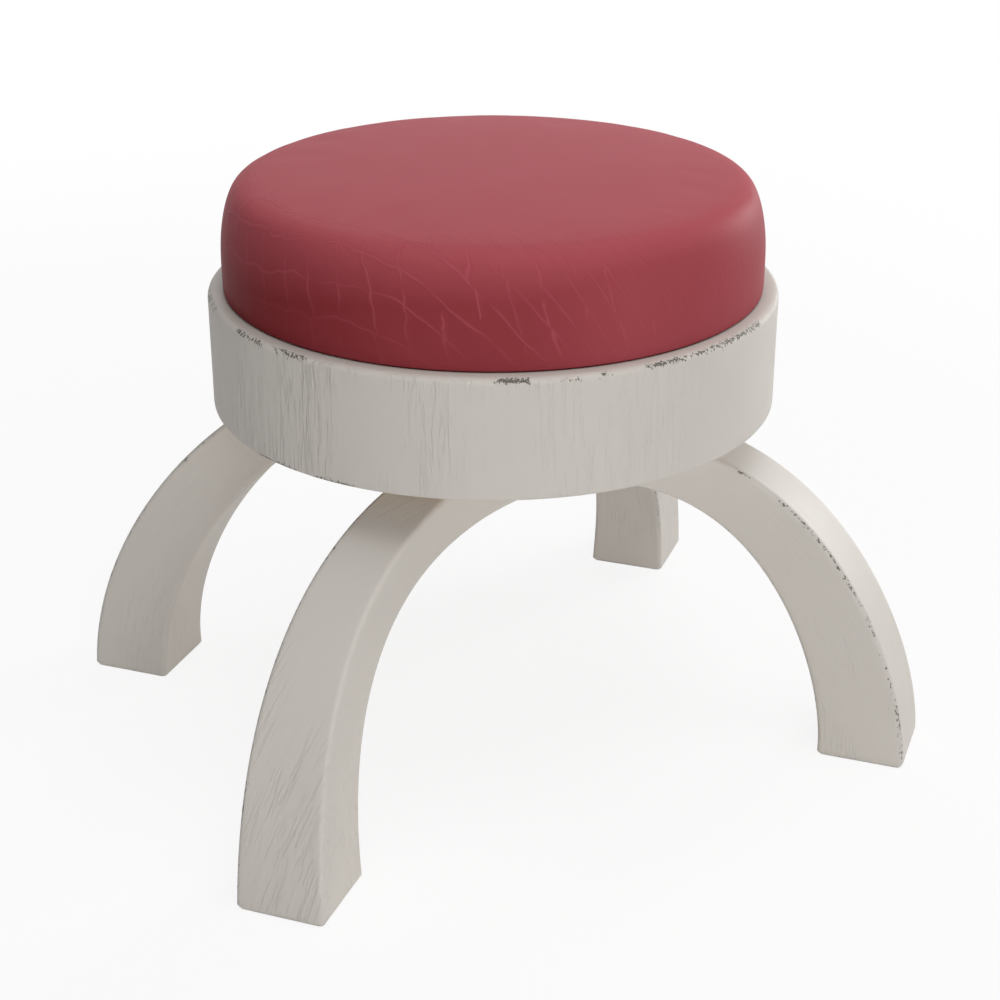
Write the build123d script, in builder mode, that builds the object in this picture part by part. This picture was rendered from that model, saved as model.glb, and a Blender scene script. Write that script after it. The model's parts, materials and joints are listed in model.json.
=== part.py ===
from build123d import *
import os
from math import radians, sin, sqrt

# Round stool: four arched legs of painted wood, a hoop seat and a stuffed leather cushion.
# Millimetres, +Z up. The origin is on the floor under the middle of the seat.
# +X is to the right of someone who faces the stool, and +Y is away from them.

# Legs: thick at the foot, thinner at the crown, where two neighbours meet under the seat
foot_reach = 280.0  # from the stool's axis to the outer face of a foot
foot_size = 56.0  # side of the square section on the floor
foot_shift = 28.0  # how far a foot's centre lies to one side of the stool's axis
foot_chamfer = 1.5
upright_pull = 75.0  # how far the leg keeps to its upright start
level_pull = 161.0  # how far it keeps to its level end
crown_radius = 87.7  # from the stool's axis to the joint of two legs
crown_width = 28.0
crown_depth = 31.0
landing_depth = 3.5  # planed off the crown, to seat it flat under the base board
leg_edge_radius = 3.0
leg_section_count = 11

# Seat hoop
seat_underside = 227.0
hoop_height = 73.0
hoop_outer_radius = 177.3
hoop_wall = 13.0
rim_outer_round = 4.0
rim_inner_round = 2.0
hoop_foot_round = 2.5

# Base board and glue blocks inside the hoop
base_board_thickness = 18.0
board_fit = 0.25
block_count = 4
block_first_angle = 45.0
block_depth = 46.0
block_width = 44.0
glue_gap = 0.2

# Cushion: the cover drops into the hoop, swells out over the rim, leans in above, and has a low crown
cushion_board_drop = 3.5  # from the rim down to the top of the cushion's board
cushion_board_thickness = 12.0
leather_thickness = 1.5
hem_width = 18.0
hem_round = 3.0
rim_clearance = 0.7  # between the cover and the inside of the hoop
rim_overlap = 3.5  # how far the cover swells out over the rim
overlap_gap = 0.4  # between the swell and the top of the rim
overlap_round = 3.0
upright_above_rim = 23.0  # height of the upright part of the side
side_curve_radius = 107.0
side_lean = 19.5  # degrees from upright where the side meets the shoulder
shoulder_radius = 14.7
crown_slope = 4.2  # degrees from level where the shoulder meets the crown
foam_gap = 0.2

# Staples that hold the cover's hem
staple_count = 24
staple_width = 10.0
staple_wire = 0.8
staple_leg = 8.0

# Bolts through the base board, the blocks and the cushion's board
bolt_radius = 3.0
bolt_inset = 14.0  # from a block's inner end
bolt_tip_cover = 1.0  # the tip stays this far under the top of the cushion's board
bolt_head_radius = 5.5
bolt_head_height = 4.0
washer_radius = 9.0
washer_thickness = 1.6
tee_flange_radius = 9.5
tee_flange_thickness = 1.5
tee_barrel_radius = 4.3
tee_barrel_length = 9.0
bolt_fit = 0.2

# Wood screws from the base board into the legs, and the dowel between two legs
screw_radius = 2.5
screw_head_radius = 5.0
screw_bite = 20.0  # length in the leg
screw_tip = 4.0
screw_distances = (23.0, 36.0)  # from the joint of two legs, along the crown
screw_fit = 0.1
countersink_angle = 90.0
dowel_radius = 4.0
dowel_depth = 16.0  # length in each leg
dowel_fit = 0.1
pilot_spare = 0.5  # depth of a blind hole past what goes into it

# Heights and radii that follow from the sizes above
base_board_top = seat_underside + base_board_thickness
rim_height = seat_underside + hoop_height
cushion_board_top = rim_height - cushion_board_drop
cushion_board_underside = cushion_board_top - cushion_board_thickness
hem_underside = cushion_board_underside - leather_thickness
hoop_inner_radius = hoop_outer_radius - hoop_wall
block_outer_radius = hoop_inner_radius - glue_gap
bolt_circle_radius = block_outer_radius - block_depth + bolt_inset
bolt_hole_radius = bolt_radius + bolt_fit
crown_height = seat_underside + landing_depth - crown_depth / 2
dowel_height = seat_underside - (crown_depth - landing_depth) / 2
hem_radius = hoop_inner_radius - rim_clearance
swell_radius = hoop_inner_radius + rim_overlap
swell_underside = rim_height + overlap_gap


def cushion_body(inset, floor_height):
    """Turned body of the cushion, inset all round and cut off level at floor_height."""
    with BuildPart() as body:
        with BuildSketch(Plane.XZ):
            with BuildLine():
                low = (swell_radius - inset, swell_underside + overlap_round)
                high = (swell_radius - inset, rim_height + upright_above_rim)
                Line(low, high)
                side = JernArc(high, (0, 1), side_curve_radius - inset, side_lean)
                turn = 90 - side_lean - crown_slope
                shoulder = JernArc(side @ 1, side % 1, shoulder_radius - inset, turn)
                dome_radius = (shoulder @ 1).X / sin(radians(crown_slope))
                dome = JernArc(shoulder @ 1, shoulder % 1, dome_radius, crown_slope)
                roll = JernArc(low, (0, -1), overlap_round - inset, -90)
                edge = hem_radius - inset
                corner = (edge, swell_underside + inset)
                Polyline(roll @ 1, corner, (edge, floor_height), (0, floor_height), dome @ 1)
            make_face()
        revolve(axis=Axis.Z)
    return body.part


def bolt_places():
    """Places of the bolts round the stool's axis."""
    return PolarLocations(bolt_circle_radius, block_count, start_angle=block_first_angle)


# Two legs meet in an upright plane through the stool's axis, halfway between their feet
joint_plane = Plane(origin=(0, 0, 0), x_dir=(0, 0, 1), z_dir=(1, 1, 0))
crown_offset = crown_radius / sqrt(2)
level_offset = level_pull / sqrt(2)
crown_point = Vector(crown_offset, -crown_offset, crown_height)
crown_axis = joint_plane.z_dir
board_point = Vector(crown_point.X, crown_point.Y, base_board_top)
right_screw_places = [board_point + crown_axis * distance for distance in screw_distances]
front_screw_places = [board_point - crown_axis * distance for distance in screw_distances]
dowel_plane = Plane(
    origin=(crown_point.X, crown_point.Y, dowel_height),
    x_dir=joint_plane.x_dir,
    z_dir=joint_plane.z_dir,
)

# Centre line of the right leg: upright at the foot, level where it meets the front leg
foot_centre = Vector(foot_reach - foot_size / 2, foot_shift, 0)
with BuildLine() as leg_line:
    Bezier(
        foot_centre,
        foot_centre + Vector(0, 0, upright_pull),
        crown_point + Vector(level_offset, level_offset, 0),
        crown_point,
    )
leg_path = leg_line.edge()

with BuildPart() as leg_right:
    for step in range(leg_section_count):
        along = step / (leg_section_count - 1)
        heading = leg_path % along
        across = Vector(0, 1, 0) - heading * heading.Y
        width = foot_size + (crown_width - foot_size) * along
        depth = foot_size + (crown_depth - foot_size) * along
        with BuildSketch(Plane(origin=leg_path @ along, x_dir=across, z_dir=heading)):
            RectangleRounded(width, depth, leg_edge_radius)
    loft()
    split(bisect_by=Plane.XY.offset(seat_underside), keep=Keep.BOTTOM)
    chamfer(leg_right.faces().sort_by(Axis.Z)[0].edges(), foot_chamfer)
    with BuildSketch(dowel_plane):
        Circle(dowel_radius + dowel_fit)
    extrude(amount=dowel_depth + pilot_spare, mode=Mode.SUBTRACT)
    with Locations(*right_screw_places):
        Hole(screw_radius + screw_fit, depth=base_board_thickness + screw_bite + pilot_spare)

with BuildPart() as leg_front:
    mirror(leg_right.part, about=joint_plane)

with BuildPart() as leg_left:
    add(leg_right.part, rotation=(0, 0, 180))

with BuildPart() as leg_back:
    add(leg_front.part, rotation=(0, 0, 180))

with BuildPart() as crown_dowel:
    with BuildSketch(dowel_plane):
        Circle(dowel_radius)
    extrude(amount=dowel_depth, both=True)

with BuildPart() as crown_dowels:
    with PolarLocations(0, 2):
        add(crown_dowel.part)

with BuildPart() as pair_screws:
    for place in right_screw_places + front_screw_places:
        with BuildSketch(Plane(origin=place, x_dir=(1, 0, 0), z_dir=(0, -1, 0))):
            with BuildLine():
                Polyline(
                    (0, 0),
                    (screw_head_radius, 0),
                    (screw_radius, screw_radius - screw_head_radius),
                    (screw_radius, screw_tip - base_board_thickness - screw_bite),
                    (0, -base_board_thickness - screw_bite),
                    close=True,
                )
            make_face()
        revolve(axis=Axis(place, (0, 0, 1)))

with BuildPart() as leg_screws:
    with PolarLocations(0, 2):
        add(pair_screws.part)

with BuildPart() as seat_hoop:
    with BuildSketch(Plane.XY.offset(seat_underside)):
        Circle(hoop_outer_radius)
        Circle(hoop_inner_radius, mode=Mode.SUBTRACT)
    extrude(amount=hoop_height)
    rim_edges = seat_hoop.edges().group_by(Axis.Z)[-1].sort_by(SortBy.RADIUS)
    fillet(rim_edges[0], rim_inner_round)
    rim_edges = seat_hoop.edges().group_by(Axis.Z)[-1].sort_by(SortBy.RADIUS)
    fillet(rim_edges[-1], rim_outer_round)
    floor_edges = seat_hoop.edges().group_by(Axis.Z)[0].sort_by(SortBy.RADIUS)
    fillet(floor_edges[-1], hoop_foot_round)

with BuildPart() as base_board:
    with BuildSketch(Plane.XY.offset(seat_underside)):
        Circle(hoop_inner_radius - board_fit)
    extrude(amount=base_board_thickness)
    with Locations((0, 0, base_board_top)):
        with bolt_places():
            Hole(bolt_hole_radius)
    with PolarLocations(0, 2):
        with Locations(*right_screw_places, *front_screw_places):
            CounterSinkHole(
                screw_radius + screw_fit,
                screw_head_radius + screw_fit,
                counter_sink_angle=countersink_angle,
            )

with BuildPart() as hoop_block:
    with BuildSketch(Plane.XY.offset(base_board_top)):
        Circle(block_outer_radius)
        with Locations((block_outer_radius, 0)):
            Rectangle(2 * block_depth, block_width, mode=Mode.INTERSECT)
    extrude(amount=hem_underside - base_board_top)
    with Locations((bolt_circle_radius, 0, hem_underside)):
        Hole(bolt_hole_radius)

with BuildPart() as bolt_washers:
    with BuildSketch(Plane.XY.offset(seat_underside - washer_thickness)):
        with bolt_places():
            Circle(washer_radius)
            Circle(bolt_hole_radius, mode=Mode.SUBTRACT)
    extrude(amount=washer_thickness)

bolt_seat = seat_underside - washer_thickness
with BuildPart() as cushion_bolts:
    with BuildSketch(Plane.XY.offset(bolt_seat)):
        with bolt_places():
            Circle(bolt_radius)
    extrude(amount=cushion_board_top - bolt_tip_cover - bolt_seat)
    with BuildSketch(Plane.XY.offset(bolt_seat)):
        with bolt_places():
            RegularPolygon(bolt_head_radius, 6)
    extrude(amount=-bolt_head_height)

with BuildPart() as cushion_tee_nuts:
    with BuildSketch(Plane.XY.offset(cushion_board_top)):
        with bolt_places():
            Circle(tee_flange_radius)
    extrude(amount=-tee_flange_thickness)
    with BuildSketch(Plane.XY.offset(cushion_board_top)):
        with bolt_places():
            Circle(tee_barrel_radius)
    extrude(amount=-tee_barrel_length)
    with Locations((0, 0, cushion_board_top)):
        with bolt_places():
            Hole(bolt_hole_radius)

staple_circle_radius = hem_radius - hem_width / 2
with BuildPart() as cover_staples:
    with BuildSketch(Plane.XY.offset(hem_underside)):
        with PolarLocations(staple_circle_radius, staple_count):
            Rectangle(staple_wire, staple_width)
    extrude(amount=staple_wire)
    with BuildSketch(Plane.XY.offset(hem_underside)):
        with PolarLocations(staple_circle_radius, staple_count):
            with GridLocations(0, staple_width - staple_wire, 1, 2):
                Rectangle(staple_wire, staple_wire)
    extrude(amount=staple_leg)

with BuildPart() as cushion_board:
    with BuildSketch(Plane.XY.offset(cushion_board_underside)):
        Circle(hem_radius - leather_thickness - board_fit)
    extrude(amount=cushion_board_thickness)
    with Locations((0, 0, cushion_board_top)):
        with bolt_places():
            CounterBoreHole(
                tee_barrel_radius + bolt_fit,
                tee_flange_radius + bolt_fit,
                tee_flange_thickness,
            )
    add(cover_staples.part, mode=Mode.SUBTRACT)

with BuildPart() as foam_pad:
    add(cushion_body(leather_thickness + foam_gap, cushion_board_top))

with BuildPart() as cushion_cover:
    add(cushion_body(0, hem_underside))
    fillet(cushion_cover.edges().group_by(Axis.Z)[0], hem_round)
    add(cushion_body(leather_thickness, cushion_board_underside), mode=Mode.SUBTRACT)
    with BuildSketch(Plane.XY.offset(hem_underside)):
        Circle(hem_radius - hem_width)
    extrude(amount=leather_thickness, mode=Mode.SUBTRACT)
    add(cover_staples.part, mode=Mode.SUBTRACT)

pieces = {
    "leg_right": leg_right.part,
    "leg_front": leg_front.part,
    "leg_left": leg_left.part,
    "leg_back": leg_back.part,
    "crown_dowels": crown_dowels.part,
    "leg_screws": leg_screws.part,
    "seat_hoop": seat_hoop.part,
    "base_board": base_board.part,
    "bolt_washers": bolt_washers.part,
    "cushion_bolts": cushion_bolts.part,
    "cushion_tee_nuts": cushion_tee_nuts.part,
    "cover_staples": cover_staples.part,
    "cushion_board": cushion_board.part,
    "foam_pad": foam_pad.part,
    "cushion_cover": cushion_cover.part,
}
for number in range(block_count):
    turn = block_first_angle + number * 360 / block_count
    with BuildPart() as placed_block:
        add(hoop_block.part, rotation=(0, 0, turn))
    pieces[f"hoop_block_{number + 1}"] = placed_block.part

os.makedirs("parts", exist_ok=True)
for name, piece in pieces.items():
    piece.label = name
    export_step(piece, f"parts/{name}.step")
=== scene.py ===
"""Looks of the round stool: distressed paint on the wood and a creased leather cushion.

Metres, +Z up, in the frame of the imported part. The legs, the hoop and the cushion's cover are
modelled here as dense meshes on the part's own sizes. The pieces inside keep the part's solids.
Places round the stool are given in degrees to the right of the front, the side that the camera sees.
"""

import json
import math

import bpy
import numpy as np
from mathutils import Matrix, Vector


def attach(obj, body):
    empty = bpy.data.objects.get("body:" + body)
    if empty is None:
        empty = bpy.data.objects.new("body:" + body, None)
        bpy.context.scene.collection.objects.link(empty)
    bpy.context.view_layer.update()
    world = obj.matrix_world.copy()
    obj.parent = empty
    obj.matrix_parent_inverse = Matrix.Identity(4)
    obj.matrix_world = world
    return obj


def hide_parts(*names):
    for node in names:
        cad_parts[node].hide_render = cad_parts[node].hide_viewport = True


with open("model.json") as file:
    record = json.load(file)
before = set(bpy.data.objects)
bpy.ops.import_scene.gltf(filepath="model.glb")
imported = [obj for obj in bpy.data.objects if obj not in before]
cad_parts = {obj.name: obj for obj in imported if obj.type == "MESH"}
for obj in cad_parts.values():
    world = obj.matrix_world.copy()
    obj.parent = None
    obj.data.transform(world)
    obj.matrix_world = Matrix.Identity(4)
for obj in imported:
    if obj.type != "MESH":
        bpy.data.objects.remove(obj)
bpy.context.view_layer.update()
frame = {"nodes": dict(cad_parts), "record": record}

# The part's own sizes
FOOT_REACH = 0.280
FOOT_SIZE = 0.056
FOOT_SHIFT = 0.028
FOOT_CHAMFER = 0.0015
UPRIGHT_PULL = 0.075
LEVEL_PULL = 0.161
CROWN_RADIUS = 0.0877
CROWN_WIDTH = 0.028
CROWN_DEPTH = 0.031
LANDING_DEPTH = 0.0035
LEG_EDGE_RADIUS = 0.003
SEAT_UNDERSIDE = 0.227
HOOP_HEIGHT = 0.073
HOOP_OUTER_RADIUS = 0.1773
HOOP_WALL = 0.013
RIM_OUTER_ROUND = 0.004
RIM_INNER_ROUND = 0.002
HOOP_FOOT_ROUND = 0.0025
CUSHION_BOARD_DROP = 0.0035
CUSHION_BOARD_THICKNESS = 0.012
LEATHER_THICKNESS = 0.0015
HEM_WIDTH = 0.018
HEM_ROUND = 0.003
RIM_CLEARANCE = 0.0007
RIM_OVERLAP = 0.0035
OVERLAP_GAP = 0.0004
UPRIGHT_ABOVE_RIM = 0.023
SIDE_CURVE_RADIUS = 0.107
SIDE_LEAN = math.radians(19.5)
SHOULDER_RADIUS = 0.0147
CROWN_SLOPE = math.radians(4.2)

RIM_HEIGHT = SEAT_UNDERSIDE + HOOP_HEIGHT
HOOP_INNER_RADIUS = HOOP_OUTER_RADIUS - HOOP_WALL
HEM_UNDERSIDE = RIM_HEIGHT - CUSHION_BOARD_DROP - CUSHION_BOARD_THICKNESS - LEATHER_THICKNESS

# The photograph's camera, solved from the feet and the outline
CAMERA_AZIMUTH = math.radians(19.9415)
CAMERA_ELEVATION = math.radians(24.452)
CAMERA_DISTANCE = 4.8405 * FOOT_REACH
CAMERA_RIGHT = 0.0150 * FOOT_REACH
CAMERA_UP = 0.4801 * FOOT_REACH
IMAGE_SIZE = 1000  # pixels
FOCAL_PIXELS = 1968.22
SENSOR_WIDTH = 36.0
FOCAL_LENGTH = SENSOR_WIDTH * FOCAL_PIXELS / IMAGE_SIZE

# Direction from the axis to the camera, where the front of the hoop and cushion lies
FRONT_ANGLE = math.atan2(-math.cos(CAMERA_AZIMUTH), math.sin(CAMERA_AZIMUTH))

# Mesh density
LEG_LINE_SAMPLES = 2001
LEG_RINGS = 150
LEG_SIDE_STEPS = 22
LEG_CORNER_STEPS = 5
HOOP_TURNS = 480
HOOP_WALL_STEPS = 26
HOOP_RIM_STEPS = 5
HOOP_ROUND_STEPS = 7
CUSHION_GRID = 48
CROWN_SAMPLES = 48
SIDE_STEPS = 8
SHOULDER_STEPS = 8
UPRIGHT_STEPS = 5
ROLL_STEPS = 5

# The cover's own forms: its roll sits closer on the rim than the solid's, and its shoulder is eased
ROLL_ROUND = 0.0014
HEM_TURN = 0.3  # share of the hem's round that its middle point stands in from the corner
HEM_MIDDLE = 0.6  # share of the hem's width at which it has one more point
EASE_STEP = 0.0005
EASE_WIDTH = 0.006
EASE_SPREAD = 40  # steps each way
EASED_ABOVE = (RIM_HEIGHT + 0.008, RIM_HEIGHT + 0.022)  # sharp up to the first, eased from the second

# Simulation of the cover
CUSHION_START_INSET = 0.0002
CUSHION_PIN_HEIGHT = RIM_HEIGHT + 0.004
CUSHION_PRESSURE = 2.5
CUSHION_FRAMES = 20
CUSHION_SWELL_CAP = 0.0014
CUSHION_SINK_CAP = 0.0002
CAP_SOFTNESS = 3.0
CLOTH_QUALITY = 6
CLOTH_MASS = 0.4
CLOTH_STRETCH = 80.0
CLOTH_SHEAR = 32.0
CLOTH_BEND = 10.0
CLOTH_SHRINK = -0.006  # below zero, so the cover is cut a little too large

# Legs: each one's place as a turned or mirrored copy of the right leg
LEG_TURNS = {
    "leg_right": Matrix.Identity(3),
    "leg_front": Matrix(((0, -1, 0), (-1, 0, 0), (0, 0, 1))),
    "leg_left": Matrix(((-1, 0, 0), (0, -1, 0), (0, 0, 1))),
    "leg_back": Matrix(((0, 1, 0), (1, 0, 0), (0, 0, 1))),
}
# Long edges of a leg by their corner of the section. The low side is the one towards the leg that
# it meets under the seat, and the inner side is the one towards the stool's axis.
LEG_EDGES = {"low_inner": (-1, 1), "high_inner": (1, 1), "low_outer": (-1, -1), "high_outer": (1, -1)}
# How worn each long edge is, leg by leg
LEG_WEAR = {
    "leg_right": {"low_inner": 0.6, "high_inner": 0.3, "low_outer": 0.82, "high_outer": 0.35},
    "leg_front": {"low_inner": 0.3, "high_inner": 0.35, "low_outer": 0.2, "high_outer": 0.75},
    "leg_left": {"low_inner": 0.35, "high_inner": 0.2, "low_outer": 0.55, "high_outer": 0.75},
    "leg_back": {"low_inner": 0.35, "high_inner": 0.6, "low_outer": 0.6, "high_outer": 0.7},
}
EDGE_REACH = 0.0028  # how far wear spreads from an edge
FOOT_EDGE_WEAR = 0.45
# Grain of each leg: how far it leans to the low side as it rises, and how much it stands out
LEG_GRAIN = {
    "leg_right": (0.06, 0.5),
    "leg_front": (0.36, 0.6),
    "leg_left": (0.10, 0.4),
    "leg_back": (0.08, 0.5),
}
FOOT_GRAIN = (0.04, 0.10)  # how far up a leg its grain is full, and how far it takes to calm above that
CROWN_GRAIN = 0.2  # share of the grain that is left at the top
GRAIN_SHIFT = 0.7  # sets each leg's grain apart from the others

# Hoop: worn stretches of its outer edges, from and to, and how worn they are
RIM_WEAR = (
    (-84, -70, 0.95),
    (-59, -36, 1.05),
    (0, 22, 1.25),
    (28, 64, 1.05),
    (100, 126, 0.8),
    (160, 186, 0.9),
    (214, 238, 0.7),
)
HOOP_FOOT_WEAR = ((-52, -26, 1.08), (52, 70, 0.6), (118, 150, 0.8), (200, 222, 0.9))
RIM_REACH = 0.0034  # how far wear spreads from the rim's edge
WEAR_SOFTNESS = 3.0  # degrees
RAISED_GRAIN = (-42.0, 34.0)  # where the wall's grain stands out most, and how far round that reaches
CALM_GRAIN = 0.35  # share of the grain on the rest of the wall
FLAT_GRAIN = 0.1  # share of that on the rim and inside

# Paint: it is chipped where its flecks pass a limit, which wear lowers
CHIP_LIMIT = 0.80
CHIP_DROP = 0.42  # of the limit, at a wear of 1
CHIP_SHARPNESS = 16.0
CHIP_DEPTH = 0.8  # of a chip, where a groove of the grain is 1
RIDGE_HEIGHT = 1.4  # of the grain's ridges, likewise
# Painted shade in the grain's grooves: how far the paint there darkens towards the groove colour
GROOVE_SHADE_SHARE = 0.05

# Crease net of the cover: long lines that sink more and more steeply to the right, crossed by steep
# ones. Distances down the cover are from the middle of its crown.
CREASE_SPACING = (0.0205, 0.0210)  # of the steep lines round the cover, and of the long lines down it
STEEP_SLANT = math.radians(78)
# Fall of the long lines, by degrees
LONG_SINK = ((-200, 1.0), (-130, 0.7), (-85, -0.05), (-35, -0.08), (27, 1.8), (95, 1.3), (160, 1.0))
LONG_SINK_SAMPLES = 721
CREASE_SEAM = 160  # degrees, where the net starts and ends
SEAM_BLANK = (4, 12)  # degrees from the seam: no creases before the first, all beyond the second
CREASE_BAND = (0.128, 0.150)  # where creases begin and where they are full
LOW_CREASES = ((-80, 0.168), (-45, 0.175), (-15, 0.190), (10, 0.202))  # where they begin to thin out
LOW_FADE = (0.024, 0.15)  # how far that takes, and the share that is left
CALM_SIDE = ((12, 1.0), (40, 0.25), (90, 0.25), (130, 1.0))  # share of the creases on the right side
CREASE_WANDER = (0.7, 0.6)  # scale and reach of the lines' wander, in spacings
ROW_SHIFT = 0.3  # of the steep lines, from row to row
LINE_WIDTH = 0.056  # of a crease, in spacings
HALO_WIDTH = 0.20  # of the softer fold beside it
LINE_TINT = 0.42
HALO_TINT = 0.22

# Painted sheen on the cover: the seat is painted paler, in place of the light's sheen on it, out to the
# first distance, and has its full red from the second
PAINTED_SHEEN_REACH = (0.155, 0.206)
# Painted sheen on the side, by degrees: paler towards the right where the light falls, none on the left
PAINTED_SHEEN_SIDE = ((-62, 0.0), (-18, 0.34), (6, 0.39), (26, 0.67), (85, 0.61), (125, 0.29), (170, 0.0))

# Colours, darker and lighter where there are two
PAINT = ((0.585, 0.548, 0.502), (0.640, 0.603, 0.558))
# Painted shade colour for the grain's grooves
GROOVE_PAINTED_SHADE = (0.30, 0.265, 0.225)
CHIPPED_WOOD = ((0.085, 0.079, 0.067), (0.20, 0.187, 0.160))
HIDE = ((0.173, 0.0140, 0.0170), (0.187, 0.0180, 0.0215))
# Painted sheen: the paler red for the seat and the right side
SHEEN_PAINTED_HIDE = ((0.409, 0.0815, 0.0985), (0.421, 0.0875, 0.1045))
CREASE_HALO = (0.34, 0.048, 0.066)
CREASE_LINE = (0.46, 0.105, 0.135)
HIDE_GLOSS = (1.0, 0.70, 0.72)
BIRCH = ((0.52, 0.36, 0.20), (0.70, 0.53, 0.34))
BIRCH_PLY = (0.38, 0.24, 0.12)
BEECH = ((0.60, 0.41, 0.25), (0.74, 0.55, 0.36))
BEECH_FLECK = (0.36, 0.21, 0.11)
CREAM_FOAM = ((0.62, 0.54, 0.34), (0.86, 0.79, 0.58))
ZINC = ((0.48, 0.48, 0.50), (0.66, 0.66, 0.68))
FLOOR = (0.9, 0.9, 0.9)
WHITE = (1.0, 1.0, 1.0)

# Soft lamps: degrees to the right of the camera, degrees up, size and power
LAMPS = {
    "front": (12, 9, 0.9, 21.0),
    "right_behind": (130, 9, 0.9, 29.0),
    "behind": (180, 34, 1.6, 9.0),
    "top": (40, 80, 2.0, 36.0),
}
LAMP_DISTANCE = 2.6
SKY_LEVELS = (0.045, 0.315)  # on the dark side and on the bright side
SKY_BRIGHT_SIDE = 72  # degrees to the right of the camera
FLOOR_SIZE = 14.0
FLOOR_GLOW = 0.86
FLOOR_FADE = (0.5, 1.8)  # from the axis, where the floor begins to turn plain white and where it is so
FLOOR_GAP = 0.0001  # under the soles


class Graph:
    """One material's node tree, built with short calls."""

    def __init__(self, name):
        self.material = bpy.data.materials.new(name)
        self.material.use_nodes = True
        self.tree = self.material.node_tree
        self.shader = self.tree.nodes["Principled BSDF"]

    def node(self, kind, **settings):
        """A new node with its settings."""
        made = self.tree.nodes.new(kind)
        for key, value in settings.items():
            setattr(made, key, value)
        return made

    def put(self, socket, value):
        """Set a socket to a number or colour, or link another socket to it."""
        if isinstance(value, bpy.types.NodeSocket):
            self.tree.links.new(value, socket)
        else:
            socket.default_value = value

    def attribute(self, name, output="Fac"):
        """What a mesh keeps on its points under a name."""
        return self.node("ShaderNodeAttribute", attribute_name=name).outputs[output]

    def position(self):
        """Place on the piece, in metres."""
        return self.node("ShaderNodeTexCoord").outputs["Object"]

    def math(self, operation, first, second=0.0, clamp=False):
        """A calculation with one or two numbers."""
        made = self.node("ShaderNodeMath", operation=operation, use_clamp=clamp)
        self.put(made.inputs[0], first)
        self.put(made.inputs[1], second)
        return made.outputs[0]

    def scaled(self, vector, scale):
        """A vector with its three numbers each multiplied by their own scale."""
        made = self.node("ShaderNodeVectorMath", operation="MULTIPLY")
        self.put(made.inputs[0], vector)
        self.put(made.inputs[1], scale)
        return made.outputs[0]

    def noise(self, vector, scale, detail=2.0, roughness=0.5, distortion=0.0):
        """Soft noise about 0.5, finer with a larger scale."""
        made = self.node("ShaderNodeTexNoise")
        self.put(made.inputs["Vector"], self.scaled(vector, scale))
        self.put(made.inputs["Scale"], 1.0)
        self.put(made.inputs["Detail"], detail)
        self.put(made.inputs["Roughness"], roughness)
        self.put(made.inputs["Distortion"], distortion)
        return made.outputs["Fac"]

    def cells(self, vector, scale, feature="F1"):
        """Distance to the nearest of many scattered points."""
        made = self.node("ShaderNodeTexVoronoi", feature=feature)
        self.put(made.inputs["Vector"], self.scaled(vector, (scale, scale, scale)))
        self.put(made.inputs["Scale"], 1.0)
        return made.outputs["Distance"]

    def ramp(self, value, low, high, bottom=0.0, top=1.0):
        """Smooth step from bottom at low to top at high."""
        made = self.node("ShaderNodeMapRange", interpolation_type="SMOOTHSTEP")
        for key, number in (("From Min", low), ("From Max", high), ("To Min", bottom), ("To Max", top)):
            self.put(made.inputs[key], number)
        self.put(made.inputs["Value"], value)
        return made.outputs["Result"]

    def mix(self, share, first, second):
        """A colour from the first at 0 to the second at 1."""
        made = self.node("ShaderNodeMix", data_type="RGBA")
        self.put(made.inputs["Factor"], share)
        self.put(made.inputs["A"], colour(first))
        self.put(made.inputs["B"], colour(second))
        return made.outputs["Result"]

    def bump(self, height, strength, distance, normal=None):
        """Normals of a surface raised by a height, on top of other normals where there are some."""
        made = self.node("ShaderNodeBump")
        self.put(made.inputs["Height"], height)
        self.put(made.inputs["Strength"], strength)
        self.put(made.inputs["Distance"], distance)
        if normal is not None:
            self.put(made.inputs["Normal"], normal)
        return made.outputs["Normal"]

    def finish(self, **inputs):
        """The material, with its shader's inputs set. Their names have underscores for spaces."""
        for key, value in inputs.items():
            self.put(self.shader.inputs[key.replace("_", " ")], colour(value))
        return self.material


def colour(value):
    """Three numbers as an opaque colour; anything else as it is."""
    if isinstance(value, tuple) and len(value) == 3:
        return (*value, 1.0)
    return value


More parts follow.
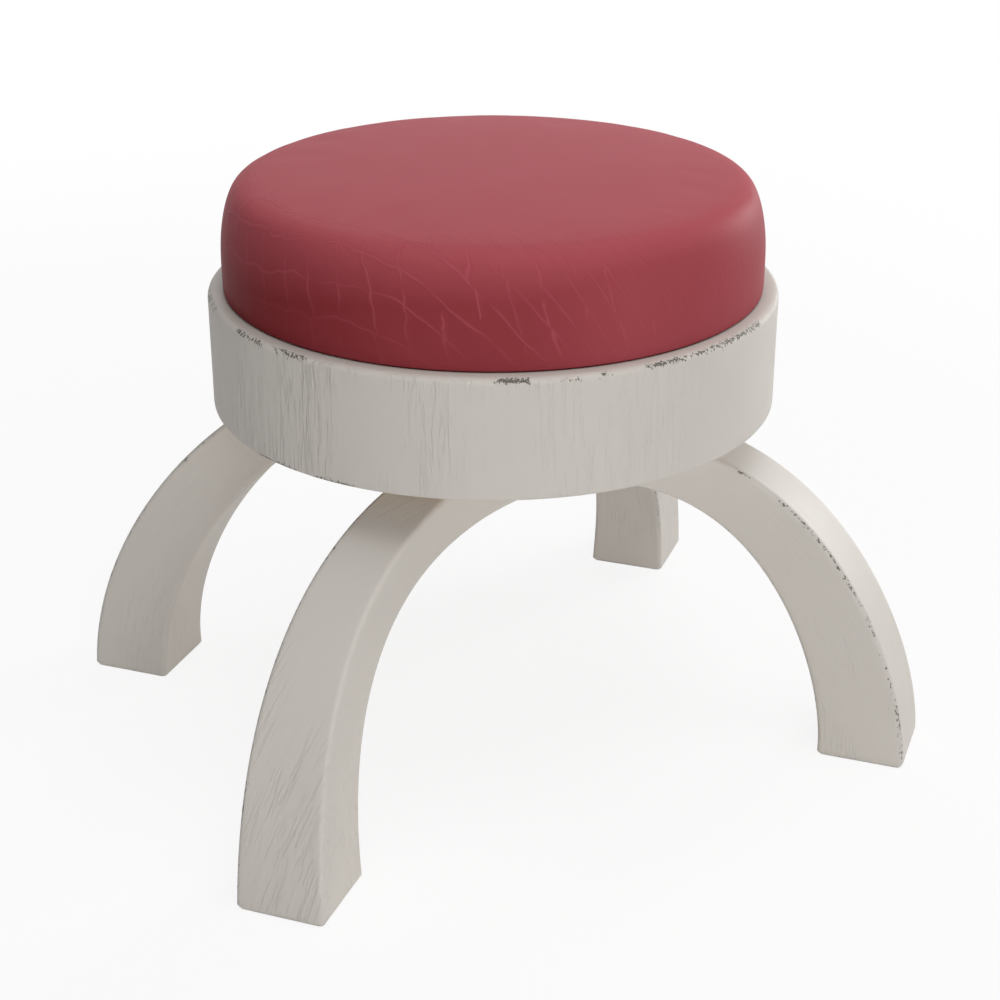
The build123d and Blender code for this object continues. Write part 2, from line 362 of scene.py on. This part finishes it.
def painted_wood():
    """Off-white paint over open grain, with painted shade in the grain's grooves, chipped to dark wood
    in clusters where wear says.
    """
    graph = Graph("distressed_paint")
    grain = graph.attribute("grain", "Vector")
    wear = graph.attribute("wear")
    patches = graph.ramp(graph.noise(grain, (26, 26, 11), detail=2), 0.36, 0.58)
    relief = graph.math("MULTIPLY", graph.attribute("relief"), patches)
    pores = graph.noise(grain, (430, 430, 36), detail=3, roughness=0.55, distortion=0.9)
    ridges = graph.noise(grain, (190, 190, 17), detail=2, roughness=0.5, distortion=0.7)
    clouds = graph.noise(grain, (16, 16, 9), detail=3)
    groove = graph.ramp(pores, 0.34, 0.50, bottom=1.0, top=0.0)
    groove = graph.math("MULTIPLY", groove, relief)
    swell = graph.math("MULTIPLY", ridges, relief)

    cluster = graph.ramp(graph.noise(grain, (58, 58, 58), detail=1), 0.33, 0.50)
    flecks = graph.noise(grain, (740, 740, 500), detail=2, roughness=0.6)
    reach = graph.math("MULTIPLY", wear, cluster)
    limit = graph.math("SUBTRACT", CHIP_LIMIT, graph.math("MULTIPLY", reach, CHIP_DROP))
    chip = graph.math("MULTIPLY", graph.math("SUBTRACT", flecks, limit), CHIP_SHARPNESS, clamp=True)

    paint = graph.mix(clouds, *PAINT)
    # Painted shade: the paint darkens a little in the grain's grooves
    paint = graph.mix(graph.math("MULTIPLY", groove, GROOVE_SHADE_SHARE), paint, GROOVE_PAINTED_SHADE)
    surface = graph.mix(chip, paint, graph.mix(flecks, *CHIPPED_WOOD))
    roughness = graph.ramp(clouds, 0.3, 0.7, bottom=0.52, top=0.62)
    height = graph.math("SUBTRACT", graph.math("MULTIPLY", swell, RIDGE_HEIGHT), groove)
    height = graph.math("SUBTRACT", height, graph.math("MULTIPLY", chip, CHIP_DEPTH))
    brushed = graph.noise(grain, (300, 300, 80), detail=2)
    normal = graph.bump(brushed, 0.06, 0.0006)
    normal = graph.bump(height, 0.72, 0.0007, normal)
    return graph.finish(
        Base_Color=surface, Roughness=roughness, Normal=normal, Specular_IOR_Level=0.25
    )


def crease_lines(graph, place):
    """Lines of the crease net, which wander and break off, and the softer halos beside them."""
    skin = graph.attribute("skin", "Vector")
    creased = graph.attribute("creased")
    scale, reach = CREASE_WANDER
    wander = graph.node("ShaderNodeTexNoise", noise_dimensions="2D")
    graph.put(wander.inputs["Vector"], skin)
    graph.put(wander.inputs["Scale"], scale)
    graph.put(wander.inputs["Detail"], 2.0)
    bent = graph.node("ShaderNodeVectorMath", operation="MULTIPLY_ADD")
    graph.put(bent.inputs[0], wander.outputs["Color"])
    graph.put(bent.inputs[1], (reach, reach, 0.0))
    graph.put(bent.inputs[2], skin)
    net = graph.node("ShaderNodeSeparateXYZ")
    graph.put(net.inputs[0], bent.outputs[0])
    row = graph.node("ShaderNodeTexWhiteNoise", noise_dimensions="1D")
    graph.put(row.inputs["W"], graph.math("FLOOR", net.outputs["Y"]))
    shift = graph.math("MULTIPLY", row.outputs["Value"], ROW_SHIFT)
    steep = graph.math("PINGPONG", graph.math("ADD", net.outputs["X"], shift), 0.5)
    long = graph.math("PINGPONG", net.outputs["Y"], 0.5)
    long_shown = graph.ramp(graph.noise(place, (30, 30, 30), detail=1), 0.30, 0.52)
    long_shown = graph.math("MULTIPLY", long_shown, creased)
    steep_shown = graph.ramp(graph.noise(place, (46, 46, 52), detail=1), 0.38, 0.58)
    steep_shown = graph.math("MULTIPLY", steep_shown, creased)
    strokes = []
    for width in (LINE_WIDTH, HALO_WIDTH):
        along = graph.math("MULTIPLY", graph.ramp(long, 0.0, width, bottom=1.0, top=0.0), long_shown)
        across = graph.math("MULTIPLY", graph.ramp(steep, 0.0, width, bottom=1.0, top=0.0), steep_shown)
        strokes.append(graph.math("MAXIMUM", along, across))
    return strokes


def red_leather():
    """Red leather: fine pebbled grain, painted sheen that makes the seat and the right side paler, and
    a net of pale creases where it bends.
    """
    graph = Graph("red_leather")
    place = graph.position()
    line, halo = crease_lines(graph, place)
    mottle = graph.noise(place, (30, 30, 30), detail=4, roughness=0.6)
    # Painted sheen: the hide is painted paler where the seat and the right side catch the light, and
    # stays darker on the left
    hide = graph.mix(graph.attribute("painted_sheen"), graph.mix(mottle, *HIDE), graph.mix(mottle, *SHEEN_PAINTED_HIDE))
    hide = graph.mix(graph.math("MULTIPLY", halo, HALO_TINT), hide, CREASE_HALO)
    hide = graph.mix(graph.math("MULTIPLY", line, LINE_TINT), hide, CREASE_LINE)
    roughness = graph.ramp(mottle, 0.3, 0.7, bottom=0.49, top=0.52)
    normal = graph.bump(graph.cells(place, 620, "SMOOTH_F1"), 0.10, 0.0004)
    normal = graph.bump(graph.math("SUBTRACT", halo, line), 0.18, 0.0010, normal)
    return graph.finish(
        Base_Color=hide,
        Roughness=roughness,
        Normal=normal,
        Specular_IOR_Level=0.035,
        Specular_Tint=HIDE_GLOSS,
    )


def plywood():
    """Birch plywood: long face grain, and thin bands on the edge."""
    graph = Graph("birch_plywood")
    place = graph.position()
    grain = graph.noise(place, (18, 240, 3), detail=4, roughness=0.6)
    plies = graph.noise(place, (6, 6, 620), detail=1)
    wood = graph.mix(graph.ramp(plies, 0.42, 0.58, top=0.35), graph.mix(grain, *BIRCH), BIRCH_PLY)
    return graph.finish(Base_Color=wood, Roughness=0.7, Normal=graph.bump(grain, 0.15, 0.0004))


def bare_wood():
    """Unfinished beech with short flecks."""
    graph = Graph("bare_beech")
    place = graph.position()
    grain = graph.noise(place, (70, 70, 420), detail=3)
    flecks = graph.ramp(graph.noise(place, (900, 900, 260), detail=1), 0.58, 0.66)
    wood = graph.mix(graph.math("MULTIPLY", flecks, 0.35), graph.mix(grain, *BEECH), BEECH_FLECK)
    return graph.finish(Base_Color=wood, Roughness=0.65, Normal=graph.bump(grain, 0.12, 0.0003))


def foam():
    """Open-cell cream foam."""
    graph = Graph("cream_foam")
    depth = graph.cells(graph.position(), 900)
    body = graph.mix(depth, *CREAM_FOAM)
    return graph.finish(Base_Color=body, Roughness=0.95, Normal=graph.bump(depth, 0.5, 0.0008))


def steel():
    """Zinc-plated steel with a faint turned finish."""
    graph = Graph("zinc_steel")
    marks = graph.noise(graph.position(), (260, 260, 2600), detail=2)
    roughness = graph.ramp(marks, 0.3, 0.7, bottom=0.28, top=0.42)
    body = graph.mix(marks, *ZINC)
    normal = graph.bump(marks, 0.05, 0.0002)
    return graph.finish(Base_Color=body, Metallic=1.0, Roughness=roughness, Normal=normal)


def new_piece(name, points, faces, material):
    """A smooth-shaded mesh object in the scene."""
    mesh = bpy.data.meshes.new(name)
    mesh.from_pydata([tuple(p) for p in points], [], faces)
    mesh.validate()
    mesh.materials.append(material)
    mesh.shade_smooth()
    piece = bpy.data.objects.new(name, mesh)
    bpy.context.scene.collection.objects.link(piece)
    return piece


def store(piece, name, values):
    """Keep numbers or vectors on a mesh's points, for its material."""
    values = np.asarray(values, np.float32)
    kind, key = ("FLOAT", "value") if values.ndim == 1 else ("FLOAT_VECTOR", "vector")
    piece.data.attributes.new(name, kind, "POINT").data.foreach_set(key, values.ravel())


def ring_faces(rings, steps, closed_rings=False):
    """Quads between rings of points that each go once round."""
    faces = []
    for ring in range(rings if closed_rings else rings - 1):
        low, high = ring * steps, (ring + 1) % rings * steps
        for step in range(steps):
            after = (step + 1) % steps
            faces.append((low + step, low + after, high + after, high + step))
    return faces


def fade(distance, reach):
    """1 on an edge, falling to 0 beyond reach."""
    return np.exp(-((np.asarray(distance) / reach) ** 2))


def lengths_along(line):
    """Distance of each point of a line from its start."""
    return np.r_[0, np.cumsum(np.linalg.norm(np.diff(line, axis=0), axis=1))]


def table(values, points):
    """Values read from a table of places and values, straight between its rows."""
    return np.interp(values, *zip(*points))


def half_turn(degrees):
    """The same angles, from -180 to 180."""
    return (degrees + 180) % 360 - 180


def degrees_from_front(points):
    """Direction of points from the axis, in degrees to the right of the front, from -180 to 180."""
    return half_turn(np.degrees(np.arctan2(points[:, 1], points[:, 0]) - FRONT_ANGLE))


def arc(centre, radius, start, end, steps):
    """Points of an arc in a plane, from one angle in degrees to another."""
    angles = np.radians(np.linspace(start, end, steps + 1))
    return [(centre[0] + radius * math.cos(a), centre[1] + radius * math.sin(a)) for a in angles]


def rounded_section(width, depth, radius):
    """Points round a rounded rectangle, anticlockwise, the same count for any size."""
    corners = ((1, 1, 0), (-1, 1, 90), (-1, -1, 180), (1, -1, 270))
    rounds = []
    for side_x, side_y, start in corners:
        centre = (side_x * (width / 2 - radius), side_y * (depth / 2 - radius))
        rounds.append(np.array(arc(centre, radius, start, start + 90, LEG_CORNER_STEPS)))
    points = []
    for corner, after in zip(rounds, rounds[1:] + rounds[:1]):
        points.extend(corner)
        points.extend(np.linspace(corner[-1], after[0], LEG_SIDE_STEPS + 1)[1:-1])
    return np.array(points)


def leg_centre_line():
    """Even points of the right leg's centre line, their headings and their distance from the foot."""
    offset, pull = CROWN_RADIUS / math.sqrt(2), LEVEL_PULL / math.sqrt(2)
    height = SEAT_UNDERSIDE + LANDING_DEPTH - CROWN_DEPTH / 2
    foot = np.array((FOOT_REACH - FOOT_SIZE / 2, FOOT_SHIFT, 0.0))
    crown = np.array((offset, -offset, height))
    controls = (foot, foot + (0, 0, UPRIGHT_PULL), crown + (pull, pull, 0), crown)
    fine = np.linspace(0, 1, LEG_LINE_SAMPLES)[:, None]
    weights = ((1 - fine) ** 3, 3 * (1 - fine) ** 2 * fine, 3 * (1 - fine) * fine**2, fine**3)
    line = sum(weight * control for weight, control in zip(weights, controls))
    lengths = lengths_along(line)
    even = np.linspace(0, lengths[-1], LEG_RINGS)
    share = np.interp(even, lengths, fine[:, 0])[:, None]
    steps = [after - before for before, after in zip(controls, controls[1:])]
    weights = ((1 - share) ** 2, 2 * (1 - share) * share, share**2)
    headings = sum(weight * step for weight, step in zip(weights, steps))
    headings /= np.linalg.norm(headings, axis=1)[:, None]
    points = np.stack([np.interp(even, lengths, line[:, axis]) for axis in range(3)], axis=1)
    return points, headings, even


def leg_shape():
    """Points of the right leg, their places in its grain, and how far they are from its long edges."""
    points, grain, edges = [], [], []
    centres, headings, along = leg_centre_line()
    for centre, heading, place in zip(centres, headings, along):
        share = place / along[-1]
        width = FOOT_SIZE + (CROWN_WIDTH - FOOT_SIZE) * share
        depth = FOOT_SIZE + (CROWN_DEPTH - FOOT_SIZE) * share
        section = rounded_section(width, depth, LEG_EDGE_RADIUS)
        if place == 0:
            section = section * (1 - 2 * FOOT_CHAMFER / FOOT_SIZE)
        across = np.array((0, 1, 0)) - heading * heading[1]
        across /= np.linalg.norm(across)
        inward = np.cross(heading, across)
        points.append(centre + section[:, :1] * across + section[:, 1:] * inward)
        grain.append(np.c_[section, np.full(len(section), place)])
        corners = np.array(list(LEG_EDGES.values())) * (width / 2, depth / 2)
        edges.append(np.linalg.norm(section[:, None] - corners[None], axis=2))
    points = np.concatenate(points)
    points[:, 2] = np.minimum(points[:, 2], SEAT_UNDERSIDE)
    return points, np.concatenate(grain), np.concatenate(edges)


def build_legs(material):
    """The four painted legs, each with its own wear and grain."""
    points, grain, edges = leg_shape()
    along = grain[:, 2]
    full_grain, grain_fade = FOOT_GRAIN
    near_foot = CROWN_GRAIN + (1 - CROWN_GRAIN) * fade(np.maximum(along - full_grain, 0), grain_fade)
    steps = len(points) // LEG_RINGS
    last = (LEG_RINGS - 1) * steps
    sides = ring_faces(LEG_RINGS, steps)
    caps = [tuple(reversed(range(steps))), tuple(range(last, last + steps))]
    for number, (name, turn) in enumerate(LEG_TURNS.items()):
        matrix = np.array(turn)
        faces = sides + caps
        if np.linalg.det(matrix) < 0:
            faces = [tuple(reversed(face)) for face in faces]
        leg = new_piece(f"{name}_painted", points @ matrix.T, faces, material)
        for cap in leg.data.polygons[len(sides):]:
            cap.use_smooth = False
        strengths = np.array([LEG_WEAR[name][edge] for edge in LEG_EDGES])
        wear = (strengths * fade(edges, EDGE_REACH)).max(axis=1)
        slant, relief = LEG_GRAIN[name]
        store(leg, "grain", grain + np.outer(number * GRAIN_SHIFT + slant * along, (1, 0, 0)))
        store(leg, "wear", np.maximum(wear, FOOT_EDGE_WEAR * fade(along, EDGE_REACH)))
        store(leg, "relief", near_foot * relief)
        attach(leg, "root")
        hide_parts(name)


def hoop_profile():
    """Closed outline of the hoop's wall in the radius-height plane, anticlockwise."""
    inner, outer, low, high = HOOP_INNER_RADIUS, HOOP_OUTER_RADIUS, SEAT_UNDERSIDE, RIM_HEIGHT
    foot, rim, lip = HOOP_FOOT_ROUND, RIM_OUTER_ROUND, RIM_INNER_ROUND
    outline = [(inner, low)]
    outline += arc((outer - foot, low + foot), foot, -90, 0, HOOP_ROUND_STEPS)
    rise = np.linspace(low + foot, high - rim, HOOP_WALL_STEPS + 1)[1:-1]
    outline += [(outer, height) for height in rise]
    outline += arc((outer - rim, high - rim), rim, 0, 90, HOOP_ROUND_STEPS)
    run = np.linspace(outer - rim, inner + lip, HOOP_RIM_STEPS + 1)[1:-1]
    outline += [(radius, high) for radius in run]
    outline += arc((inner + lip, high - lip), lip, 90, 180, HOOP_ROUND_STEPS)
    return np.array(outline)


def worn_stretches(angles, stretches):
    """Strength of wear at angles, in degrees to the right of the front."""
    total = np.zeros_like(angles)
    for start, end, strength in stretches:
        middle, half = (start + end) / 2, (end - start) / 2
        inside = half - np.abs(half_turn(angles - middle))
        total = np.maximum(total, strength * np.clip(inside / WEAR_SOFTNESS + 0.5, 0, 1))
    return total


def build_hoop(material):
    """The painted hoop, worn in stretches along its outer edges."""
    outline = hoop_profile()
    turns = np.arange(HOOP_TURNS) * 2 * math.pi / HOOP_TURNS
    radius, height = np.repeat(outline[:, 0], HOOP_TURNS), np.repeat(outline[:, 1], HOOP_TURNS)
    turn = np.tile(turns, len(outline))
    points = np.c_[radius * np.cos(turn), radius * np.sin(turn), height]
    faces = ring_faces(len(outline), HOOP_TURNS, closed_rings=True)
    hoop = new_piece("seat_hoop_painted", points, faces, material)
    angles = degrees_from_front(points)
    rim = np.hypot(radius - HOOP_OUTER_RADIUS, height - RIM_HEIGHT)
    foot = np.hypot(radius - HOOP_OUTER_RADIUS, height - SEAT_UNDERSIDE)
    wear = worn_stretches(angles, RIM_WEAR) * fade(rim, RIM_REACH)
    wear = np.maximum(wear, worn_stretches(angles, HOOP_FOOT_WEAR) * fade(foot, EDGE_REACH))
    middle, spread = RAISED_GRAIN
    relief = CALM_GRAIN + (1 - CALM_GRAIN) * fade(half_turn(angles - middle), spread)
    relief *= np.where(radius > HOOP_OUTER_RADIUS - RIM_OUTER_ROUND / 2, 1.0, FLAT_GRAIN)
    store(hoop, "grain", points)
    store(hoop, "wear", wear)
    store(hoop, "relief", relief)
    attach(hoop, "root")
    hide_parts("seat_hoop")


def cushion_profile(inset):
    """Outline of the cover from the edge of its crown down to its hem, and the crown's radius."""
    swell, hem = HOOP_INNER_RADIUS + RIM_OVERLAP, HOOP_INNER_RADIUS - RIM_CLEARANCE
    upright_top, roll_height = RIM_HEIGHT + UPRIGHT_ABOVE_RIM, RIM_HEIGHT + OVERLAP_GAP + ROLL_ROUND
    lean, slope = math.degrees(SIDE_LEAN), math.degrees(CROWN_SLOPE)
    side_centre = (swell - SIDE_CURVE_RADIUS, upright_top)
    side = arc(side_centre, SIDE_CURVE_RADIUS - inset, 0, lean, SIDE_STEPS)
    turn = SIDE_CURVE_RADIUS - SHOULDER_RADIUS
    shoulder_centre = (
        side_centre[0] + turn * math.cos(SIDE_LEAN),
        side_centre[1] + turn * math.sin(SIDE_LEAN),
    )
    shoulder = arc(shoulder_centre, SHOULDER_RADIUS - inset, lean, 90 - slope, SHOULDER_STEPS)
    fall = np.linspace(upright_top, roll_height, UPRIGHT_STEPS + 1)[1:-1]
    upright = [(swell - inset, height) for height in fall]
    roll = arc((swell - ROLL_ROUND, roll_height), ROLL_ROUND - inset, 0, -90, ROLL_STEPS)
    foot = [
        (hem, roll[-1][1]),
        (hem, RIM_HEIGHT - HEM_ROUND),
        (hem, HEM_UNDERSIDE + HEM_ROUND),
        (hem - HEM_ROUND * HEM_TURN, HEM_UNDERSIDE + HEM_ROUND * HEM_TURN),
        (hem - HEM_ROUND, HEM_UNDERSIDE),
        (hem - HEM_WIDTH * HEM_MIDDLE, HEM_UNDERSIDE),
        (hem - HEM_WIDTH, HEM_UNDERSIDE),
    ]
    outline = shoulder[::-1] + side[-2::-1] + upright + roll + foot
    return np.array(outline), outline[0][0] / math.sin(CROWN_SLOPE)


def disc_grid(count):
    """Even grid of points in a unit disc, row by row, from a square stretched to the circle."""
    spots = []
    for row in np.linspace(-1, 1, count + 1):
        for column in np.linspace(-1, 1, count + 1):
            if abs(row) > abs(column):
                radius, angle = row, math.pi / 2 - math.pi / 4 * column / row
            elif column:
                radius, angle = column, math.pi / 4 * row / column
            else:
                radius, angle = 0.0, 0.0
            spots.append((radius * math.cos(angle), radius * math.sin(angle)))
    return np.array(spots)


def eased_profile(outline, crown_radius):
    """Radius and height of the cover at even distances from its middle, its shoulder eased."""
    top_radius, top_height = outline[0]
    radius = np.linspace(0, top_radius, CROWN_SAMPLES)
    dome = np.sqrt(crown_radius**2 - radius**2) - math.sqrt(crown_radius**2 - top_radius**2)
    whole = np.r_[np.c_[radius, top_height + dome], outline[1:]]
    lengths = lengths_along(whole)
    even = np.arange(0, lengths[-1] + EASE_STEP, EASE_STEP)
    spread = np.arange(-EASE_SPREAD, EASE_SPREAD + 1)
    kernel = np.exp(-((spread * EASE_STEP / EASE_WIDTH) ** 2) / 2)
    kernel /= kernel.sum()
    sharp = np.stack([np.interp(even, lengths, whole[:, axis]) for axis in range(2)], axis=1)
    before = sharp[EASE_SPREAD:0:-1] * (-1, 1)
    after = np.repeat(sharp[-1:], EASE_SPREAD, axis=0)
    padded = np.concatenate([before, sharp, after])
    eased = np.stack([np.convolve(padded[:, axis], kernel, "valid") for axis in range(2)], axis=1)
    share = np.interp(sharp[:, 1], EASED_ABOVE, (0, 1))[:, None]
    return even, sharp + (eased - sharp) * share


def grid_faces(count):
    """Quads of a square grid of points, and the points of its border in order."""
    side = count + 1
    faces = [
        (row * side + col, row * side + col + 1, (row + 1) * side + col + 1, (row + 1) * side + col)
        for row in range(count)
        for col in range(count)
    ]
    border = list(range(count))
    border += [row * side + count for row in range(count)]
    border += [count * side + col for col in range(count, 0, -1)]
    border += [row * side for row in range(count, 0, -1)]
    return faces, border


def cushion_mesh(inset):
    """Points and quads of the cover, and how far each point is from the middle, down over it."""
    outline, crown_radius = cushion_profile(inset)
    even, eased = eased_profile(outline, crown_radius)

    def profile_at(length):
        """Radius and height of the cover at a distance down it."""
        return [np.interp(length, even, eased[:, axis]) for axis in range(2)]

    crown = disc_grid(CUSHION_GRID)
    top_length = crown_radius * math.asin(outline[0][0] / crown_radius)
    share = np.linalg.norm(crown, axis=1)[:, None]
    ways = np.divide(crown, share, out=np.zeros_like(crown), where=share > 0)
    reach = [share[:, 0] * top_length]
    radius, height = profile_at(reach[0])
    points = [np.c_[ways * radius[:, None], height]]
    faces, above = grid_faces(CUSHION_GRID)
    directions = crown[above]
    count, length, around = len(crown), top_length, len(above)
    for before, after in zip(outline, outline[1:]):
        length += math.dist(before, after)
        radius, height = profile_at(length)
        points.append(np.c_[directions * radius, np.full(around, height)])
        reach.append(np.full(around, length))
        below = list(range(count, count + around))
        for step in range(around):
            beside = (step + 1) % around
            faces.append((above[step], below[step], below[beside], above[beside]))
        above, count = below, count + around
    return np.concatenate(points), faces, np.concatenate(reach)


def places(mesh):
    """Places of a mesh's points."""
    return np.array([vertex.co for vertex in mesh.vertices])


def inflate(piece):
    """Blow the cover up from its filling, held at the rim, and keep it near its cut shape."""
    start = places(piece.data)
    normals = np.array([vertex.normal for vertex in piece.data.vertices])
    pinned = piece.vertex_groups.new(name="held")
    pinned.add([i for i, co in enumerate(start) if co[2] < CUSHION_PIN_HEIGHT], 1.0, "REPLACE")
    cloth = piece.modifiers.new("filling", "CLOTH")
    settings = cloth.settings
    settings.quality = CLOTH_QUALITY
    settings.mass = CLOTH_MASS
    settings.tension_stiffness = CLOTH_STRETCH
    settings.compression_stiffness = CLOTH_STRETCH
    settings.shear_stiffness = CLOTH_SHEAR
    settings.bending_stiffness = CLOTH_BEND
    settings.shrink_min = CLOTH_SHRINK
    settings.use_pressure = True
    settings.uniform_pressure_force = CUSHION_PRESSURE
    settings.vertex_group_mass = pinned.name
    settings.effector_weights.gravity = 0.0
    scene = bpy.context.scene
    for step in range(1, CUSHION_FRAMES + 1):
        scene.frame_set(step)
    shaped = piece.evaluated_get(bpy.context.evaluated_depsgraph_get())
    moved = places(shaped.data) - start
    piece.modifiers.remove(cloth)
    piece.vertex_groups.remove(pinned)
    scene.frame_set(1)
    swell = (moved * normals).sum(axis=1)
    cap = np.where(swell > 0, CUSHION_SWELL_CAP, CUSHION_SINK_CAP)
    swell = cap * np.tanh(swell / cap / CAP_SOFTNESS)
    piece.data.vertices.foreach_set("co", (start + normals * swell[:, None]).ravel())
    piece.data.update()


def thicken(piece):
    """Smooth the cover and give it the leather's thickness, inwards."""
    smooth = piece.modifiers.new("smooth", "SUBSURF")
    smooth.levels = smooth.render_levels = 1
    hide = piece.modifiers.new("hide", "SOLIDIFY")
    hide.thickness, hide.offset = LEATHER_THICKNESS, -1.0
    shaped = piece.evaluated_get(bpy.context.evaluated_depsgraph_get())
    mesh = bpy.data.meshes.new_from_object(shaped)
    piece.modifiers.clear()
    piece.data = mesh


def crease_net(points, reach):
    """Place of each point in the crease net, and how strongly creases show there."""
    angle = (degrees_from_front(points) - CREASE_SEAM) % 360 - 360 + CREASE_SEAM
    degree_length = math.radians(HOOP_INNER_RADIUS + RIM_OVERLAP)
    turns = np.linspace(CREASE_SEAM - 360, CREASE_SEAM, LONG_SINK_SAMPLES)
    sunk = np.cumsum(table(turns, LONG_SINK)) * degree_length * (turns[1] - turns[0])
    steep_spacing, long_spacing = CREASE_SPACING
    steep = (angle * degree_length - reach / math.tan(STEEP_SLANT)) / steep_spacing
    long = (reach - np.interp(angle, turns, sunk)) / long_spacing
    fade_length, low_share = LOW_FADE
    below = reach - table(angle, LOW_CREASES)
    from_seam = np.minimum(CREASE_SEAM - angle, angle + 360 - CREASE_SEAM)
    shown = np.interp(reach, CREASE_BAND, (0, 1))
    shown *= np.interp(below, (0, fade_length), (1, low_share))
    shown *= np.interp(from_seam, SEAM_BLANK, (0, 1))
    shown *= table(angle, CALM_SIDE)
    return np.c_[steep, long, np.zeros_like(steep)], shown


def build_cushion(material):
    """The leather cover: blown up, thickened, and marked where it is creased and where its painted
    sheen goes.
    """
    points, faces, reach = cushion_mesh(CUSHION_START_INSET)
    cover = new_piece("cushion_leather", points, faces, material)
    inflate(cover)
    store(cover, "reach", reach)
    thicken(cover)
    points = places(cover.data)
    reach = np.zeros(len(points), np.float32)
    cover.data.attributes["reach"].data.foreach_get("value", reach)
    skin, creased = crease_net(points, reach)
    # Painted sheen: paler on the seat and on the right side, where light falls
    sheen_on_seat = np.interp(reach, PAINTED_SHEEN_REACH, (1, 0))
    sheen_on_side = table(degrees_from_front(points), PAINTED_SHEEN_SIDE)
    store(cover, "skin", skin)
    store(cover, "creased", creased)
    store(cover, "painted_sheen", np.maximum(sheen_on_seat, sheen_on_side))
    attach(cover, "root")
    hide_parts("cushion_cover")


def dress_inner_pieces():
    """Finish the pieces that keep the part's own solids."""
    looks = {"plywood": plywood(), "bare_wood": bare_wood(), "foam": foam(), "steel": steel()}
    for row in frame["record"]["subparts"]:
        if row["material_slot"] in looks:
            mesh = frame["nodes"][row["node"]].data
            mesh.materials.clear()
            mesh.materials.append(looks[row["material_slot"]])


def seen_rays(tree):
    """1 for the rays that look at the backdrop itself, straight or in a reflection."""
    rays = tree.nodes.new("ShaderNodeLightPath")
    seen = rays.outputs["Is Camera Ray"]
    for kind in ("Is Glossy Ray", "Is Transmission Ray"):
        either = tree.nodes.new("ShaderNodeMath")
        either.operation = "MAXIMUM"
        tree.links.new(seen, either.inputs[0])
        tree.links.new(rays.outputs[kind], either.inputs[1])
        seen = either.outputs[0]
    return seen


def build_floor():
    """Pale floor that looks nearly white, keeps a soft shadow and turns to plain white further out."""
    half = FLOOR_SIZE / 2
    corners = [(x * half, y * half, -FLOOR_GAP) for x, y in ((-1, -1), (1, -1), (1, 1), (-1, 1))]
    graph = Graph("studio_floor")
    glow = graph.node("ShaderNodeEmission")
    blend = graph.node("ShaderNodeMixShader")
    away = graph.node("ShaderNodeVectorMath", operation="LENGTH")
    graph.put(away.inputs[0], graph.position())
    share = graph.ramp(away.outputs["Value"], *FLOOR_FADE, bottom=FLOOR_GLOW)
    graph.put(blend.inputs["Fac"], graph.math("MULTIPLY", seen_rays(graph.tree), share))
    graph.put(blend.inputs[1], graph.shader.outputs[0])
    graph.put(blend.inputs[2], glow.outputs[0])
    graph.put(graph.tree.nodes["Material Output"].inputs["Surface"], blend.outputs[0])
    material = graph.finish(Base_Color=FLOOR, Roughness=0.9)
    new_piece("floor", corners, [(0, 1, 2, 3)], material)


def build_sky():
    """Sky that is brighter on the right, and looks white."""
    world = bpy.data.worlds.new("studio")
    world.use_nodes = True
    tree = world.node_tree
    sky = tree.nodes["Background"]
    sky.inputs["Color"].default_value = colour(WHITE)
    side = tree.nodes.new("ShaderNodeVectorMath")
    side.operation = "DOT_PRODUCT"
    bright = FRONT_ANGLE + math.radians(SKY_BRIGHT_SIDE)
    side.inputs[1].default_value = (math.cos(bright), math.sin(bright), 0)
    way = tree.nodes.new("ShaderNodeTexCoord").outputs["Generated"]
    tree.links.new(way, side.inputs[0])
    lit = tree.nodes.new("ShaderNodeMapRange")
    for key, value in (("From Min", -1), ("To Min", SKY_LEVELS[0]), ("To Max", SKY_LEVELS[1])):
        lit.inputs[key].default_value = value
    tree.links.new(side.outputs["Value"], lit.inputs["Value"])
    level = tree.nodes.new("ShaderNodeMapRange")
    tree.links.new(seen_rays(tree), level.inputs["Value"])
    tree.links.new(lit.outputs["Result"], level.inputs["To Min"])
    tree.links.new(level.outputs["Result"], sky.inputs["Strength"])
    bpy.context.scene.world = world


def build_lamps():
    """Broad soft lamps from the front, from behind and from above."""
    aim = Vector((0, 0, SEAT_UNDERSIDE))
    for name, (turn, rise, size, power) in LAMPS.items():
        angle, rise = FRONT_ANGLE + math.radians(turn), math.radians(rise)
        level_way = Vector((math.cos(angle), math.sin(angle), 0)) * math.cos(rise)
        way = level_way + Vector((0, 0, math.sin(rise)))
        lamp = bpy.data.lights.new(name, "AREA")
        lamp.size, lamp.energy = size, power
        holder = bpy.data.objects.new(name, lamp)
        holder.visible_camera = False
        holder.location = aim + way * LAMP_DISTANCE
        holder.rotation_euler = (-way).to_track_quat("-Z", "Y").to_euler()
        bpy.context.scene.collection.objects.link(holder)


def build_camera():
    """The photograph's camera."""
    azimuth, elevation = CAMERA_AZIMUTH, CAMERA_ELEVATION
    right = Vector((math.cos(azimuth), math.sin(azimuth), 0))
    back = Vector((math.sin(azimuth), -math.cos(azimuth), 0)) * math.cos(elevation)
    back.z = math.sin(elevation)
    up = back.cross(right)
    camera = bpy.data.objects.new("camera", bpy.data.cameras.new("camera"))
    camera.data.sensor_width = SENSOR_WIDTH
    camera.data.lens = FOCAL_LENGTH
    turn = Matrix((right, up, back)).transposed().to_4x4()
    place = back * CAMERA_DISTANCE + right * CAMERA_RIGHT + up * CAMERA_UP
    camera.matrix_world = Matrix.Translation(place) @ turn
    bpy.context.scene.collection.objects.link(camera)
    bpy.context.scene.camera = camera


paint = painted_wood()
build_legs(paint)
build_hoop(paint)
build_cushion(red_leather())
dress_inner_pieces()
build_floor()
build_sky()
build_lamps()
build_camera()
bpy.context.scene.view_settings.view_transform = "Standard"
